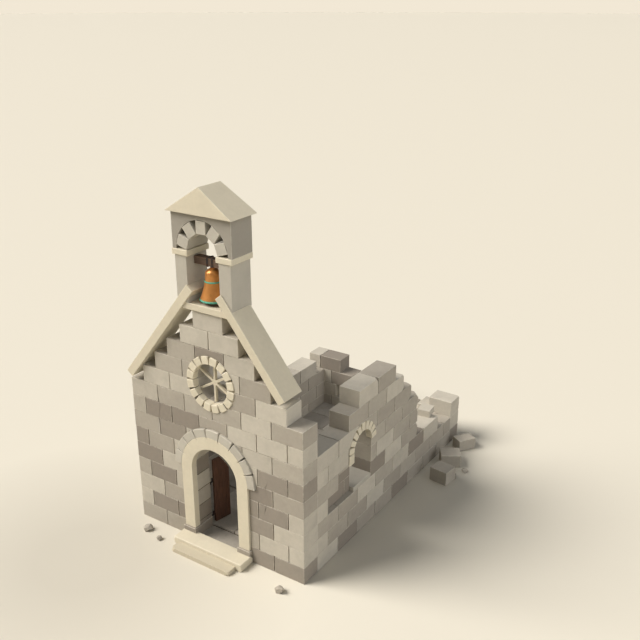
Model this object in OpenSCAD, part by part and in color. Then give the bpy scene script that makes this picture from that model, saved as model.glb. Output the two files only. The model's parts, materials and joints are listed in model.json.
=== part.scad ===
// Ruined stone chapel: gabled front with bellcote, broken nave walls, door leaf and bell.
// The origin is on the ground at the middle of the plan. +Z is up and the front faces -Y.

/* [Masonry] */
// Height of one course of blocks
course_h = 350; // [280:1:430]
// Length of a block in the front wall
block_l = 670; // [560:1:800]
// Thickness of every wall
wall_t = 450; // [360:1:540]
// Length of the nave between the front and back walls
nave_l = 5696; // [4700:1:6900]
// Depth of the facing stones where they have fallen away
facing_t = 100; // [60:1:150]
// Thickness of the floor slab
floor_t = 100; // [60:1:130]

/* [Doorway] */
// Clear width of the doorway
door_w = 1084; // [900:1:1300]
// Height of the springing of the door arch above the ground
door_spring_z = 1630; // [1300:1:1900]
// Width of the smooth surround on the face of the wall
surround_w = 252; // [180:1:300]
// Depth of the surround into the wall
surround_d = 90; // [60:1:130]
// Width of the ring of hood stones outside the surround
hood_w = 168; // [120:1:200]
// How far the surround and its hood stand in front of the wall
surround_proud = 45; // [20:1:65]
// Height of the plinth stones above the upper step
plinth_h = 105; // [80:1:160]
// Thickness of the threshold
threshold_t = 45; // [30:1:80]

/* [Steps] */
// Height of the upper step
upper_step_h = 160; // [110:1:200]
// Tread of the upper step
upper_step_d = 370; // [280:1:460]
// Length of the upper step
upper_step_l = 1660; // [1300:1:2000]
// Height of the lower step
lower_step_h = 90; // [60:1:105]
// Tread of the lower step
lower_step_d = 225; // [180:1:300]
// Length of the lower step
lower_step_l = 1400; // [1100:1:1700]

/* [Rose window] */
// Clear radius of the rose window
rose_r = 395; // [320:1:440]
// Width of its ring of stones
rose_ring_w = 155; // [110:1:200]
// Height of its centre, in courses
rose_courses = 10.05; // [9.8:0.01:10.4]
// Number of spokes
rose_spokes = 6; // [4:1:8]
// Width of a spoke
spoke_w = 42; // [30:1:60]
// Radius of the hub
hub_r = 62; // [45:1:90]

/* [Copings] */
// Thickness of a coping slab
coping_t = 165; // [120:1:200]
// How far a coping runs on below the step that it rests on
coping_tail = 360; // [250:1:450]
// How far the copings stand in front of the wall
coping_proud = 75; // [60:1:110]

/* [Bellcote] */
// Thickness of the sill slab under the piers
sill_t = 120; // [90:1:160]
// Clear width between the piers
bell_gap = 720; // [620:1:820]
// Width of a pier
pier_w = 255; // [200:1:320]
// Depth of a pier from front to back
pier_d = 535; // [440:1:620]
// Height of a pier
pier_h = 860; // [780:1:1000]
// Height of an impost
impost_h = 105; // [80:1:140]
// Thickness of the arch stones along the radius
arch_stone_t = 235; // [180:1:280]
// Height of the head block
head_h = 665; // [640:1:800]
// Rise of the roof
roof_rise = 470; // [350:1:600]
// Overhang of the roof past the head block
roof_eave = 75; // [50:1:110]

/* [Bell] */
// Radius of the bell at its lip
bell_r = 245; // [200:1:270]
// Radius of the bell below its shoulder
bell_waist_r = 138; // [110:1:160]
// Height of the bell from lip to crown
bell_h = 575; // [480:1:600]
// Wall thickness of the bell
bell_wall = 24; // [18:1:35]
// Height of the headstock beam
headstock_h = 142; // [120:1:165]
// Depth of the headstock beam
headstock_d = 150; // [130:1:165]

/* [Door leaf] */
// Width of what is left of the leaf
leaf_w = 376; // [300:1:460]
// Height of the leaf beside its hinges
leaf_h = 1420; // [1150:1:1600]
// How far the broken corner drops to the free edge
leaf_drop = 285; // [150:1:400]
// Thickness of the leaf
leaf_t = 60; // [40:1:70]
// Angle of the leaf from closed, at rest
leaf_open = 79; // [0:1:100]

/* [Side windows] */
// Clear width of a side window
window_w = 655; // [540:1:780]
// Distance of its centre from the inside of the front wall
window_y = 1585; // [1400:1:1800]
// Springing of its arch, in courses
window_spring = 5.5; // [5.3:0.1:5.6]
// Width of its ring of stones
window_ring_w = 175; // [120:1:220]
// Thickness of its sill
window_sill_t = 100; // [60:1:140]

/* [Hidden] */

stone = "#a99f8c";
stone_dark = "#8f8676";
cream = "#d8cbac";
oak = "#4a3022";
iron = "#4b4a4a";
bronze = "#be7d3c";
verdigris = "#6eaf96";

$fn = 72;
cut = 1; // how far a cutter runs past a face

// Plan
front_blocks = 6;
eave_course = 9;
gable_steps = 5;
side_blocks = 8;
half_w = front_blocks * block_l / 2;
in_w = half_w - wall_t;
depth = nave_l + 2 * wall_t;
front_y = -depth / 2;
nave_y = front_y + wall_t;
back_y = nave_y + nave_l;
side_l = nave_l / side_blocks;

// Doorway
door_r = door_w / 2;
hood_r = door_r + surround_w + hood_w;
plinth_proud = surround_proud + 35;
plinth_side = 24;
plinth_z = upper_step_h + plinth_h;

// Rose window
rose_z = rose_courses * course_h;
rose_ring_r = rose_r + rose_ring_w;
rose_proud = 22;
rose_ring_d = 110;
tracery_y = front_y + 115;
tracery_d = 60;
rose_fit = 0.3;

// Gable and bellcote
gable_z = (eave_course + gable_steps) * course_h;
sill_z = gable_z + sill_t;
bell_front_y = front_y - 45;
pier_in = bell_gap / 2;
pier_out = pier_in + pier_w;
pier_z = sill_z + pier_h;
impost_over = 45;
impost_z = pier_z + impost_h;
head_over = 40;
head_half = pier_out + head_over;
head_d = pier_d + 20;
head_z = impost_z + head_h;
arch_r = pier_in - 35;
arch_stones = 5;
arch_step = 180 / arch_stones;
arch_joint = 3;
stone_w = 2 * arch_r * tan(arch_step / 2) - arch_joint;
arch_void_r = norm([arch_r + arch_stone_t, stone_w / 2]) + 0.3;
ridge_in = 60;

// Copings: [course of the step that carries it, inner end across, inner end above the sill]
left_coping = [1, pier_in - 115, 245];
right_coping = [2, pier_in - 92, 209];

// Bell
bell_y = bell_front_y + pier_d / 2;
swing_gap = 6;
pivot_z = pier_z - norm([headstock_d, headstock_h]) / 2 - swing_gap;
headstock_gap = 6;
crown_h = 32;
strap_t = 8;
bell_lip_z = pivot_z - headstock_h / 2 - strap_t - crown_h - bell_h;
gudgeon_r = 15;
gudgeon_fit = 0.1;
gudgeon_l = 56;
socket_l = 60;
lip_band_h = 34;
band_h = 26;
band_t = 9;
band_z = bell_h * 0.58;
shoulder_z = bell_h * 0.83;
clapper_seat = 1.1;

// Door leaf, drawn closed with the hinge pin at its own origin, then turned open
pin_r = 10;
pin_fit = 0.1;
barrel_r = 18;
barrel_h = 60;
pin_x = -door_r + 5;
leaf_back = 48;
pin_y = nave_y + leaf_back + 6;
leaf_gap = 20;
leaf_z = floor_t + 15;
leaf_break = 0.47; // where the broken corner starts, across the leaf
strap_h = 45;
strap_len = 0.78 * leaf_w;
strap_at = [0.12, 0.66];
ledge_at = [0.2, 0.56];
ledge_h = 110;
ledge_t = 26;

// Side windows
window_r = window_w / 2;
window_mid = nave_y + window_y;
window_z = window_spring * course_h;
sill_course = 3;
window_ring_d = 120;
window_proud = 14;
window_ring_r = window_r + window_ring_w;
jamb_drop = 0.62 * course_h;

// Broken wall tops: [from, to, courses], counted in side blocks behind the front wall
right_top = [[0, 1.5, 7], [1.5, 2, 8], [2, 4, 9], [4, 4.5, 8], [4.5, 5, 7], [5, 5.5, 6]];
right_low = [[5.5, 7, 3], [7, 8, 2]];
left_top = [[0, 1, 7], [1, 2, 8], [2, 3.5, 7], [3.5, 4, 6], [4, 4.5, 5]];
left_low = [[4.5, 7.5, 4], [7.5, 8, 3]];
// Missing facing stones: [from, to, course below, course above]
right_bare = [[0.5, 1.8, 3, 4], [1, 1.8, 4, 4.9], [4, 5, 6, 7], [4.5, 5.5, 5, 6], [5, 5.5, 4, 5]];
// Broken back wall: how far the fourth and third courses reach from the left
back_left_end = 930;
back_second_end = 1288;
back_hole = [-1200, -800]; // where one stone of the second course is missing
corner_l = 585;
corner_rise = 1.08;
stub_l = 285;
stub_h = 130;

// Fallen stones: [across from the right wall, behind the front face, length, width, height, turn]
fallen = [[560, 4605, 425, 370, 320, -8], [405, 5325, 450, 375, 300, 32], [370, 6175, 300, 440, 270, -32],
    [720, 4810, 150, 110, 75, 25], [845, 5170, 120, 150, 80, -20], [-3570, -345, 185, 150, 120, 20],
    [-3165, -450, 110, 90, 78, -30], [-275, -395, 160, 135, 112, 15]];

function side_y(n) = nave_y + n * side_l;

module block(x0, x1, y0, y1, z0, z1) {
    translate([x0, y0, z0]) cube([x1 - x0, y1 - y0, z1 - z0]);
}

// A flat shape in the XZ plane made solid from y0 to y1
module across(y0, y1) {
    translate([0, y1, 0]) rotate([90, 0, 0]) linear_extrude(y1 - y0) children();
}

// A flat shape in the YZ plane made solid from x0 to x1
module along(x0, x1) {
    translate([x0, 0, 0]) rotate([90, 0, 90]) linear_extrude(x1 - x0) children();
}

// An arched opening of radius r, from z0 up to the springing at spring
module arched(r, z0, spring) {
    translate([0, spring]) circle(r);
    translate([-r, z0]) square([2 * r, spring - z0]);
}

module half_ring(r_in, r_out, spring) {
    translate([0, spring]) difference() {
        circle(r_out);
        circle(r_in);
        translate([-2 * r_out, -2 * r_out]) square([4 * r_out, 2 * r_out]);
    }
}

module floor_slab() {
    color(stone_dark) block(-in_w, in_w, nave_y, back_y, 0, floor_t);
}

module threshold() {
    color(stone_dark) block(-door_r, door_r, front_y, nave_y, 0, threshold_t);
}

// Everything cut out of the front wall: the doorway and its dressings, and the rose window
module front_voids() {
    across(front_y - cut, nave_y + cut) arched(door_r, -cut, door_spring_z);
    across(front_y - cut, front_y + surround_d) arched(door_r + surround_w, -cut, door_spring_z);
    across(front_y - cut, front_y + surround_d) half_ring(door_r, hood_r, door_spring_z);
    across(front_y - cut, nave_y + cut) translate([0, rose_z]) circle(rose_r);
    across(front_y - cut, front_y + rose_ring_d) translate([0, rose_z]) circle(rose_ring_r);
}

side_course = floor(door_spring_z / course_h);
door_course = ceil((door_spring_z + hood_r) / course_h);

module front_piece(x0, x1, z0, z1) {
    color(stone) difference() {
        block(x0, x1, front_y, nave_y, z0, z1);
        front_voids();
    }
}

module front_wall_left() {
    front_piece(-half_w, 0, 0, side_course * course_h);
}

module front_wall_right() {
    front_piece(0, half_w, 0, side_course * course_h);
}

module front_wall_over_door() {
    front_piece(-half_w, half_w, side_course * course_h, door_course * course_h);
}

module gable_wall() {
    color(stone) difference() {
        union() {
            block(-half_w, half_w, front_y, nave_y, door_course * course_h, eave_course * course_h);
            for (i = [1 : gable_steps]) {
                w = half_w - i * block_l / 2;
                z = (eave_course + i - 1) * course_h;
                block(-w, w, front_y, nave_y, z, z + course_h);
            }
        }
        front_voids();
    }
}

module portal_surround() {
    color(cream) across(front_y - surround_proud, front_y + surround_d) {
        half_ring(door_r, door_r + surround_w, door_spring_z);
        for (s = [0, 1]) mirror([s, 0])
            translate([door_r, plinth_z]) square([surround_w, door_spring_z - plinth_z]);
    }
}

module portal_hood() {
    color(stone) across(front_y - surround_proud, front_y + surround_d)
        half_ring(door_r + surround_w, hood_r, door_spring_z);
}

// Each plinth stands on the ground beside the threshold and carries a jamb of the surround
module portal_plinths() {
    color(stone_dark) for (s = [0, 1]) mirror([s, 0, 0]) {
        block(door_r, door_r + surround_w, front_y, front_y + surround_d, 0, plinth_z);
        block(door_r - plinth_side, door_r + surround_w + plinth_side, front_y - plinth_proud, front_y,
            upper_step_h, plinth_z);
        block(door_r - plinth_side, door_r, front_y, nave_y, threshold_t, plinth_z);
    }
}

module upper_step() {
    color(cream) block(-upper_step_l / 2, upper_step_l / 2, front_y - upper_step_d, front_y, 0, upper_step_h);
}

module lower_step() {
    y = front_y - upper_step_d;
    color(cream) block(-lower_step_l / 2, lower_step_l / 2, y - lower_step_d, y, 0, lower_step_h);
}

module rose_ring() {
    color(cream) across(front_y - rose_proud, front_y + rose_ring_d) translate([0, rose_z])
        difference() {
            circle(rose_ring_r);
            circle(rose_r);
        }
}

module rose_tracery() {
    color(cream) across(tracery_y, tracery_y + tracery_d) translate([0, rose_z]) {
        circle(hub_r);
        intersection() {
            circle(rose_r - rose_fit);
            for (i = [0 : rose_spokes - 1]) rotate(90 + i * 360 / rose_spokes)
                translate([0, -spoke_w / 2]) square([rose_r, spoke_w]);
        }
    }
}

// A coping in the XZ plane on the right-hand side: it rests on one step's corner and leans
// on the foot of the pier. c is one of the coping lists.
module coping_shape(c) {
    x = half_w - c[0] * block_l / 2;
    z = (eave_course + c[0]) * course_h;
    rise = sill_z + c[2] - z;
    run = x - c[1];
    translate([x, z]) rotate(180 - atan2(rise, run)) translate([-coping_tail, -coping_t])
        square([coping_tail + norm([rise, run]), coping_t]);
}

module coping(c) {
    color(cream) difference() {
        across(front_y - coping_proud, nave_y) coping_shape(c);
        block(pier_in, pier_out, bell_front_y, nave_y + cut, gable_z, pier_z);
        block(0, pier_out, bell_front_y, nave_y + cut, gable_z, sill_z);
    }
}

module coping_left() {
    mirror([1, 0, 0]) coping(left_coping);
}

module coping_right() {
    coping(right_coping);
}

module bell_sill() {
    color(cream) block(-pier_out, pier_out, bell_front_y, bell_front_y + pier_d, gable_z, sill_z);
}

module bell_pier() {
    difference() {
        block(pier_in, pier_out, bell_front_y, bell_front_y + pier_d, sill_z, pier_z);
        translate([pier_in - cut, bell_y, pivot_z]) rotate([0, 90, 0])
            cylinder(r = gudgeon_r + gudgeon_fit, h = socket_l + cut);
    }
}

module bell_pier_left() {
    color(stone) mirror([1, 0, 0]) bell_pier();
}

module bell_pier_right() {
    color(stone) bell_pier();
}

module imposts() {
    color(cream) for (s = [0, 1]) mirror([s, 0, 0])
        block(pier_in - impost_over, pier_out + impost_over, bell_front_y - impost_over / 2,
            bell_front_y + pier_d + impost_over / 2, pier_z, impost_z);
}

module bell_arch_stones() {
    color(stone) across(bell_front_y, bell_front_y + head_d) translate([0, impost_z])
        for (i = [0 : arch_stones - 1]) rotate((i + 0.5) * arch_step - 90)
            translate([-stone_w / 2, arch_r]) square([stone_w, arch_stone_t]);
}

module bell_head() {
    color(stone_dark) across(bell_front_y, bell_front_y + head_d) difference() {
        translate([-head_half, impost_z]) square([2 * head_half, head_h]);
        translate([0, impost_z]) circle(arch_void_r);
    }
}

module bell_roof() {
    w = head_half + roof_eave;
    y0 = bell_front_y - roof_eave;
    y1 = bell_front_y + head_d + roof_eave;
    color(cream) intersection() {
        across(y0, y1) polygon([[-w, head_z], [w, head_z], [0, head_z + roof_rise]]);
        along(-w, w) polygon([[y0, head_z], [y1, head_z], [y1 - ridge_in, head_z + roof_rise],
            [y0 + ridge_in, head_z + roof_rise]]);
    }
}

module headstock() {
    l = pier_in - headstock_gap;
    color(oak) block(-l, l, bell_y - headstock_d / 2, bell_y + headstock_d / 2,
        pivot_z - headstock_h / 2, pivot_z + headstock_h / 2);
}

// Two gudgeons that turn in the piers, and two straps round the beam that carry the bell
module headstock_ironwork() {
    strap_x = 34;
    strap_w = 42;
    color(iron) {
        for (s = [0, 1]) mirror([s, 0, 0]) {
            translate([pier_in - headstock_gap, bell_y, pivot_z]) rotate([0, 90, 0])
                cylinder(r = gudgeon_r, h = gudgeon_l);
            difference() {
                block(strap_x, strap_x + strap_w, bell_y - headstock_d / 2 - strap_t,
                    bell_y + headstock_d / 2 + strap_t, pivot_z - headstock_h / 2 - strap_t,
                    pivot_z + headstock_h / 2 + strap_t);
                block(strap_x - cut, strap_x + strap_w + cut, bell_y - headstock_d / 2,
                    bell_y + headstock_d / 2, pivot_z - headstock_h / 2, pivot_z + headstock_h / 2);
            }
        }
    }
}

// Outer radius of the bell at height z above its lip
function flare(z) = bell_waist_r + (bell_r - bell_waist_r) * pow(1 - z / shoulder_z, 2.1);
flare_steps = 14;
dome_steps = 6;

// Outline of the bell from the lip to the crown, drawn in by t on every side
function bell_outline(t) = concat(
    [for (i = [0 : flare_steps]) let (z = lip_band_h + (shoulder_z - lip_band_h) * i / flare_steps)
        [flare(z - lip_band_h) - t, z]],
    [for (i = [1 : dome_steps]) let (a = 90 * i / dome_steps)
        [(bell_waist_r - t) * cos(a), shoulder_z + (bell_h - shoulder_z - t) * sin(a)]]);

module bell() {
    color(bronze) translate([0, bell_y, bell_lip_z]) {
        difference() {
            rotate_extrude() polygon(concat([[0, 0], [bell_r, 0]], bell_outline(0)));
            rotate_extrude() polygon(concat([[0, -cut], [bell_r - bell_wall, -cut]],
                bell_outline(bell_wall)));
        }
        translate([0, 0, bell_h - 12]) cylinder(r = 46, h = crown_h + 12);
    }
}

module bell_bands() {
    r = flare(band_z - lip_band_h);
    color(verdigris) translate([0, bell_y, bell_lip_z]) {
        difference() {
            cylinder(r = bell_r + band_t, h = lip_band_h);
            translate([0, 0, -cut]) cylinder(r = bell_r + 0.2, h = lip_band_h + 2 * cut);
        }
        translate([0, 0, band_z]) difference() {
            cylinder(r = r + band_t, h = band_h);
            translate([0, 0, -cut]) cylinder(r = r + 0.2, h = band_h + 2 * cut);
        }
    }
}

module clapper() {
    ball_r = 44;
    top = bell_h - bell_wall - clapper_seat;
    color(iron) translate([0, bell_y, bell_lip_z]) {
        translate([0, 0, 40]) cylinder(r = 9, h = top - 40);
        translate([0, 0, 62]) sphere(ball_r);
    }
}

module at_leaf() {
    translate([pin_x, pin_y, 0]) rotate([0, 0, leaf_open]) children();
}

module door_leaf() {
    color(oak) at_leaf() across(-leaf_back, leaf_t - leaf_back) translate([leaf_gap, leaf_z])
        polygon([[0, 0], [leaf_w, 0], [leaf_w, leaf_h - leaf_drop], [leaf_w * leaf_break, leaf_h],
            [0, leaf_h]]);
}

module door_ledges() {
    y = leaf_t - leaf_back;
    color(oak) at_leaf() for (f = ledge_at)
        block(leaf_gap + 15, leaf_gap + leaf_w - 15, y, y + ledge_t,
            leaf_z + f * leaf_h, leaf_z + f * leaf_h + ledge_h);
}

module door_straps() {
    y = leaf_t - leaf_back;
    color(iron) at_leaf() for (f = strap_at) translate([0, 0, leaf_z + f * leaf_h])
        difference() {
            union() {
                cylinder(r = barrel_r, h = barrel_h);
                block(0, leaf_gap, y, y + strap_t, (barrel_h - strap_h) / 2, (barrel_h + strap_h) / 2);
                block(leaf_gap, leaf_gap + strap_len, y, y + strap_t,
                    (barrel_h - strap_h) / 2, (barrel_h + strap_h) / 2);
            }
            translate([0, 0, -cut]) cylinder(r = pin_r + pin_fit, h = barrel_h + 2 * cut);
        }
}

module door_pintles() {
    color(iron) for (f = strap_at) translate([pin_x, 0, leaf_z + f * leaf_h]) {
        translate([0, pin_y, -25]) cylinder(r = pin_r, h = barrel_h + 30);
        block(-12, 12, nave_y, pin_y + 12, -25, -pin_fit);
        block(-40, 12, nave_y, nave_y + 6, -60, -pin_fit);
    }
}

// One side wall, drawn on the right: columns of courses from a list of broken tops
module side_wall(tops, y0, y1, z0) {
    for (c = tops) {
        a = max(side_y(c[0]), y0);
        b = min(side_y(c[1]), y1);
        if (b > a) block(in_w, half_w, a, b, z0, c[2] * course_h);
    }
}

module window_void() {
    along(in_w - cut, half_w + cut) translate([window_mid, 0])
        arched(window_r, sill_course * course_h, window_z);
    along(half_w - window_ring_d, half_w + cut) translate([window_mid, 0]) {
        half_ring(window_r, window_ring_r, window_z);
        translate([-window_ring_r, window_z - jamb_drop]) square([window_ring_w, jamb_drop]);
    }
}

module bare_facing() {
    for (b = right_bare)
        block(half_w - facing_t, half_w + cut, side_y(b[0]),
            min(side_y(b[1]), b[0] < 2 ? window_mid - window_r : side_y(b[1])),
            b[2] * course_h, b[3] * course_h);
}

near_jamb = window_mid - window_r;
far_jamb = window_mid + window_r;

module right_wall_front() {
    color(stone) difference() {
        side_wall(right_top, nave_y, near_jamb, 0);
        window_void();
        bare_facing();
    }
}

module right_wall_under_window() {
    color(stone) block(in_w, half_w, near_jamb, far_jamb, 0, sill_course * course_h);
}

module right_wall_over_window() {
    color(stone) difference() {
        side_wall(right_top, near_jamb, far_jamb, window_z);
        window_void();
    }
}

module right_wall_middle() {
    color(stone) difference() {
        side_wall(right_top, far_jamb, back_y, 0);
        window_void();
        bare_facing();
    }
}

module right_wall_back() {
    color(stone) side_wall(right_low, nave_y, back_y, 0);
}

module left_wall_front() {
    color(stone) mirror([1, 0, 0]) difference() {
        side_wall(left_top, nave_y, near_jamb, 0);
        window_void();
    }
}

module left_wall_under_window() {
    color(stone) mirror([1, 0, 0]) right_wall_under_window();
}

module left_wall_over_window() {
    color(stone) mirror([1, 0, 0]) difference() {
        side_wall(left_top, near_jamb, far_jamb, window_z);
        window_void();
    }
}

module left_wall_back() {
    color(stone) mirror([1, 0, 0]) difference() {
        union() {
            side_wall(left_top, far_jamb, back_y, 0);
            side_wall(left_low, nave_y, back_y, 0);
        }
        window_void();
    }
}

module window_rings() {
    color(cream) for (s = [0, 1]) mirror([s, 0, 0])
        along(half_w - window_ring_d, half_w + window_proud) translate([window_mid, 0]) {
            half_ring(window_r, window_ring_r, window_z);
            translate([-window_ring_r, window_z - jamb_drop]) square([window_ring_w, jamb_drop]);
        }
}

module window_sills() {
    z = sill_course * course_h;
    color(cream) for (s = [0, 1]) mirror([s, 0, 0])
        block(in_w, half_w, near_jamb, far_jamb, z, z + window_sill_t);
}

module back_wall() {
    color(stone) {
        block(-half_w, half_w, back_y, back_y + wall_t, 0, course_h);
        block(-half_w, back_hole[0], back_y, back_y + wall_t, course_h, 2 * course_h);
        block(back_hole[1], half_w, back_y, back_y + wall_t, course_h, 2 * course_h);
        block(-half_w, -half_w + back_second_end, back_y, back_y + wall_t, 2 * course_h, 3 * course_h);
        block(-half_w, -half_w + back_left_end, back_y, back_y + wall_t, 3 * course_h, 4 * course_h);
    }
}

// The corner stone on the back wall, the thin stone beside it, and one left on the low side wall
module loose_blocks() {
    color(stone) {
        block(half_w - corner_l, half_w, back_y, back_y + wall_t, 2 * course_h,
            (2 + corner_rise) * course_h);
        block(half_w - corner_l - stub_l, half_w - corner_l, back_y, back_y + wall_t,
            2 * course_h, 2 * course_h + stub_h);
        translate([in_w + 35, side_y(6.68), 3 * course_h]) rotate([0, 0, 8]) cube([290, 340, 155]);
    }
}

module fallen_blocks() {
    color(stone_dark) for (f = fallen) translate([half_w + f[0], front_y + f[1], 0])
        rotate([0, 0, f[5]]) translate([-f[2] / 2, -f[3] / 2, 0]) cube([f[2], f[3], f[4]]);
}

floor_slab();
threshold();
front_wall_left();
front_wall_right();
front_wall_over_door();
gable_wall();
portal_surround();
portal_hood();
portal_plinths();
upper_step();
lower_step();
rose_ring();
rose_tracery();
coping_left();
coping_right();
bell_sill();
bell_pier_left();
bell_pier_right();
imposts();
bell_arch_stones();
bell_head();
bell_roof();
headstock();
headstock_ironwork();
bell();
bell_bands();
clapper();
door_leaf();
door_ledges();
door_straps();
door_pintles();
right_wall_front();
right_wall_under_window();
right_wall_over_window();
right_wall_middle();
right_wall_back();
left_wall_front();
left_wall_under_window();
left_wall_over_window();
left_wall_back();
window_rings();
window_sills();
back_wall();
loose_blocks();
fallen_blocks();
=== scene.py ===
import json
import math
import random

import bmesh
import bpy
from mathutils import Matrix, Vector


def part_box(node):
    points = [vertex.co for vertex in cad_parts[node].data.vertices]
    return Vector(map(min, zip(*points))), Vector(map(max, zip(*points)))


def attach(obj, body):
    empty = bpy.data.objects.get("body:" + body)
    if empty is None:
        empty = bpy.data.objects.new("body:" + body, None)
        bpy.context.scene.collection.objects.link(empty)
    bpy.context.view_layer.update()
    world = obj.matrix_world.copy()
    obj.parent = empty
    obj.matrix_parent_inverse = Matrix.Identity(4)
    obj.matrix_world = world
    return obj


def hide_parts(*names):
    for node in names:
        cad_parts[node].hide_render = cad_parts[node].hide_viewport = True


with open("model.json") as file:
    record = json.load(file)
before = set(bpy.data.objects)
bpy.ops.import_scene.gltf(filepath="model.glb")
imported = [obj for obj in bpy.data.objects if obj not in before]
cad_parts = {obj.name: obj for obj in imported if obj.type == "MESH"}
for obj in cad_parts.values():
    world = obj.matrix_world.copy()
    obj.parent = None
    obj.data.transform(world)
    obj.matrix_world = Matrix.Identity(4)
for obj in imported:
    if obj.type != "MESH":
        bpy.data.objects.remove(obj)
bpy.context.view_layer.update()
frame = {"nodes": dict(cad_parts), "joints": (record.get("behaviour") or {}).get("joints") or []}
print("frame loaded:", len(frame["nodes"]), "nodes")

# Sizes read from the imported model, in metres
gableLow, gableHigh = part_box("gable_wall")
backLow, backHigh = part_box("back_wall")
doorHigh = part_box("threshold")[1]
surroundLow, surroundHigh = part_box("portal_surround")
hoodLow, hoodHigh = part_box("portal_hood")
roseLow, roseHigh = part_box("rose_ring")
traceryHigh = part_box("rose_tracery")[1]
sillLow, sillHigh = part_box("window_sills")
ringLow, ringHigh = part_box("window_rings")
slabLow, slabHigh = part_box("floor_slab")

chapel = {
    "halfWidth": gableHigh.x,
    "inside": slabHigh.x,
    "front": gableLow.y,
    "nave": gableHigh.y,
    "back": backLow.y,
    "rear": backHigh.y,
    "course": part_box("front_wall_over_door")[0].z / 4,
    "facadeCourses": 9,
    "gableSteps": 5,
    "facadeBlocks": 6,
    "sideBlocks": 8,
}
course = chapel["course"]
block = 2 * chapel["halfWidth"] / chapel["facadeBlocks"]
sideBlock = (chapel["back"] - chapel["nave"]) / chapel["sideBlocks"]
doorRadius = doorHigh.x
springZ = hoodLow.z
surroundRadius = surroundHigh.x
hoodRadius = hoodHigh.x
roseCentre = (0, (roseLow.z + roseHigh.z) / 2)
roseOuter = roseHigh.x
roseInner = traceryHigh.z - roseCentre[1]
windowMid = (sillLow.y + sillHigh.y) / 2
windowRadius = (sillHigh.y - sillLow.y) / 2
ringRadius = (ringHigh.y - ringLow.y) / 2
windowSpring = ringHigh.z - ringRadius


def linear(hexText):
    parts = [int(hexText[i:i + 2], 16) / 255 for i in (1, 3, 5)]
    return tuple(((c + 0.055) / 1.055) ** 2.4 if c > 0.04045 else c / 12.92 for c in parts) + (1.0,)


def addNode(tree, kind, settings=None, links=None, out=0):
    # Adds a node, sets or links its inputs, and gives back the output asked for
    node = tree.nodes.new("ShaderNode" + kind)
    for name, value in (settings or {}).items():
        setattr(node, name, value)
    for socket, value in (links or {}).items():
        if isinstance(value, bpy.types.NodeSocket):
            tree.links.new(value, node.inputs[socket])
        else:
            node.inputs[socket].default_value = value
    return node.outputs[out]


def newMaterial(name, roughness, metallic=0.0):
    material = bpy.data.materials.new(name)
    material.use_nodes = True
    shader = material.node_tree.nodes["Principled BSDF"]
    shader.inputs["Roughness"].default_value = roughness
    shader.inputs["Metallic"].default_value = metallic
    return material, material.node_tree, shader


# Socket numbers: Mix has its factor at 0, its colours at 6 and 7 and the result at 2; MapRange has the value
# at 0, its range at 1 and 2, and the range it gives at 3 and 4. Below are settings that many nodes share.
inColour = {"data_type": "RGBA"}
product = {"operation": "MULTIPLY"}
shifted = {"noise_dimensions": "4D"}


def quarried(name, stone):
    # Sawn and weathered stone: matt, each block its own shade, edges rubbed paler, faint bedding
    material, tree, shader = newMaterial(name, stone["roughness"])
    place = addNode(tree, "TexCoord", out="Object")
    tone, lot, worn = (addNode(tree, "Attribute", {"attribute_name": word}, out="Fac")
                       for word in ("tone", "lot", "worn"))
    shift = addNode(tree, "Math", product, {0: lot, 1: 37.0})
    blotch, mottle, grain = (  # each given as the width of a patch in millimetres
        addNode(tree, "TexNoise", shifted, {
            "Vector": place, "W": shift, "Scale": 1000 / stone[word], "Detail": detail, "Roughness": 0.6})
        for word, detail in (("blotch", 3.0), ("mottle", 4.0), ("grain", 2.0)))
    colour = addNode(tree, "Mix", inColour,
                     {0: tone, 6: linear(stone["dark"]), 7: linear(stone["light"])}, 2)
    stain = addNode(tree, "MapRange", None, {0: blotch, 1: 0.45, 2: 0.72, 3: 0.0, 4: stone["stain"]})
    colour = addNode(tree, "Mix", inColour, {0: stain, 6: colour, 7: linear(stone["stained"])}, 2)
    shade = addNode(tree, "MapRange", None,
                    {0: mottle, 1: 0.3, 2: 0.7, 3: 1 - stone["vary"], 4: 1 + stone["vary"]})
    colour = addNode(tree, "HueSaturation", None, {"Value": shade, "Color": colour})
    edge = addNode(tree, "MapRange", None, {0: mottle, 1: 0.38, 2: 0.6, 3: 0.15, 4: stone["edge"]})
    rubbed = addNode(tree, "Math", product, {0: worn, 1: edge})
    colour = addNode(tree, "Mix", inColour, {0: rubbed, 6: colour, 7: linear(stone["rubbed"])}, 2)
    tree.links.new(colour, shader.inputs["Base Color"])
    matt = addNode(tree, "MapRange", None, {
        0: mottle, 1: 0.3, 2: 0.7, 3: stone["roughness"] - 0.06, 4: stone["roughness"] + 0.06})
    tree.links.new(matt, shader.inputs["Roughness"])
    tooled = addNode(tree, "Bump", None,
                     {"Strength": stone["bump"], "Distance": 0.006, "Height": mottle})
    gritty = addNode(tree, "Bump", None,
                     {"Strength": stone["bump"] * 0.8, "Distance": 0.002, "Height": grain, "Normal": tooled})
    tree.links.new(gritty, shader.inputs["Normal"])
    return material


# Limestone rubble blocks, dressed with a chisel: three shades from warm pale to grey-brown.
# Grain of 7 mm is drawn at 16 mm so that it shows.
wallStone = quarried("weatheredLimestone", {
    "dark": "#887f73", "light": "#bbb4a5", "stained": "#7c756a", "rubbed": "#ccc5b5", "stain": 0.25,
    "vary": 0.05, "edge": 0.55, "roughness": 0.88, "bump": 0.30, "blotch": 520, "mottle": 75, "grain": 16})
# Finer freestone, rubbed smooth: warm cream, almost even
trimStone = quarried("rubbedFreestone", {
    "dark": "#b9af98", "light": "#d1c8b1", "stained": "#aea590", "rubbed": "#dfd7c3", "stain": 0.20,
    "vary": 0.03, "edge": 0.5, "roughness": 0.80, "bump": 0.16, "blotch": 420, "mottle": 60, "grain": 14})
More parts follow.
